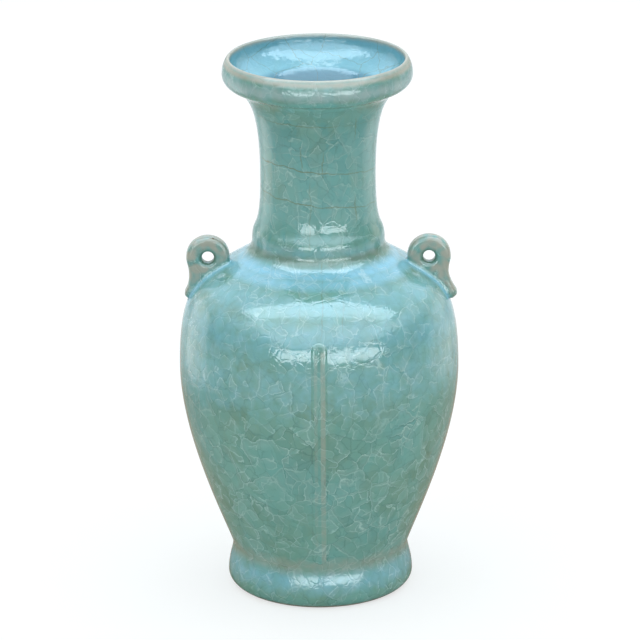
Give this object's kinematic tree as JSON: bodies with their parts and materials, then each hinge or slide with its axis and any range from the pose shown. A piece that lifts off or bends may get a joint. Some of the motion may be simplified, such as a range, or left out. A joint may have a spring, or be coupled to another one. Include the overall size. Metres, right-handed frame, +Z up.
{
  "type": "lugged baluster vase",
  "caption": "Tall glazed stoneware vase: spreading foot, full belly, round shoulder with pierced lugs, long flared neck, dished mouth.",
  "frame": {"origin": "middle of the foot's bearing edge, on the surface that the vase stands on", "axes": "+Z up along the vase's axis, the lugs on the X axis, the ribs on the Y axis with front_rib towards -Y"},
  "size_m": [0.2038, 0.206, 0.4],
  "materials": {
    "crackle_glaze": "glossy crackled blue-green glaze",
    "bare_clay": "matt unglazed stoneware"
  },
  "bodies": {
    "root": {"foot_ring": "crackle_glaze", "base_disc": "bare_clay", "lower_body": "crackle_glaze", "shoulder": "crackle_glaze", "neck": "crackle_glaze", "mouth_rim": "crackle_glaze", "left_lug": "crackle_glaze", "right_lug": "crackle_glaze", "front_rib": "crackle_glaze", "back_rib": "crackle_glaze"}
  },
  "joints": []
}
